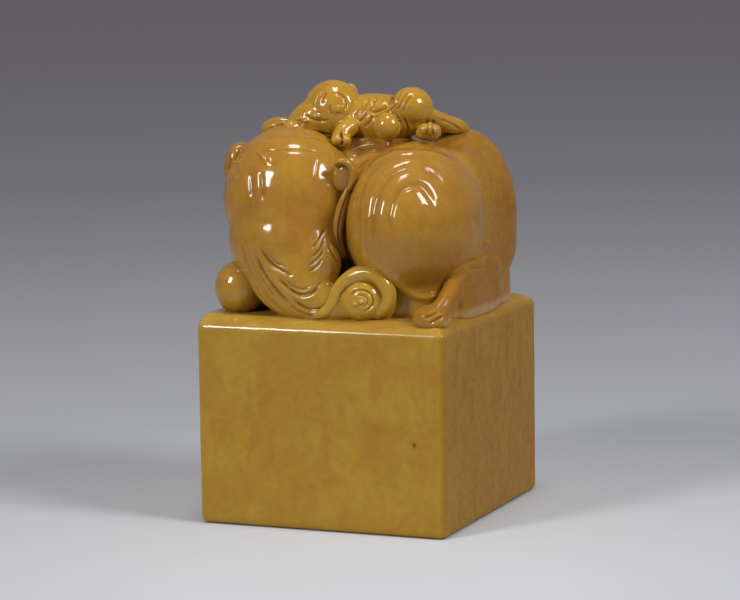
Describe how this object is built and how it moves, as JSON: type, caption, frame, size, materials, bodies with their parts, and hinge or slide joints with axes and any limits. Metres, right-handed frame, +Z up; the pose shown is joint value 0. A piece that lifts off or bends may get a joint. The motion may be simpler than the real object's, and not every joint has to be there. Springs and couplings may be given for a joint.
{
  "type": "seal stamp",
  "caption": "Square carved stone seal stamp: a plain block with an engraved stamping face below and a recumbent beast carrying its cub as the knob above.",
  "frame": {"origin": "centre of the stamping face, on the plane that the stamp stands on", "axes": "+Z up from the stamping face to the knob, -Y towards the front of the beast, +X to the right along the front of the block"},
  "size_m": [0.03, 0.031, 0.0499],
  "materials": {
    "block_stone": "polished translucent olive-amber soapstone",
    "carved_stone": "polished translucent amber soapstone",
    "face_stone": "flat ground stone, faintly tinted by red seal paste"
  },
  "bodies": {
    "root": {"seal_block": "block_stone", "seal_face": "face_stone", "torso": "carved_stone", "right_shoulder": "carved_stone", "left_shoulder": "carved_stone", "right_haunch": "carved_stone", "left_haunch": "carved_stone", "neck": "carved_stone", "head": "carved_stone", "muzzle": "carved_stone", "right_ear": "carved_stone", "left_ear": "carved_stone", "mane_lock": "carved_stone", "beard": "carved_stone", "beard_scroll": "carved_stone", "right_elbow": "carved_stone", "right_foreleg": "carved_stone", "right_forepaw": "carved_stone", "left_forearm": "carved_stone", "left_forepaw": "carved_stone", "right_hind_paw": "carved_stone", "left_hind_paw": "carved_stone", "tail": "carved_stone", "right_tail_scroll": "carved_stone", "left_tail_scroll": "carved_stone", "cub_body": "carved_stone", "cub_head": "carved_stone", "cub_muzzle": "carved_stone", "cub_nose": "carved_stone", "cub_ear": "carved_stone", "cub_rump": "carved_stone", "cub_hind_paw": "carved_stone", "cub_toe": "carved_stone", "cub_tail": "carved_stone", "mane_curl": "carved_stone"}
  },
  "joints": []
}
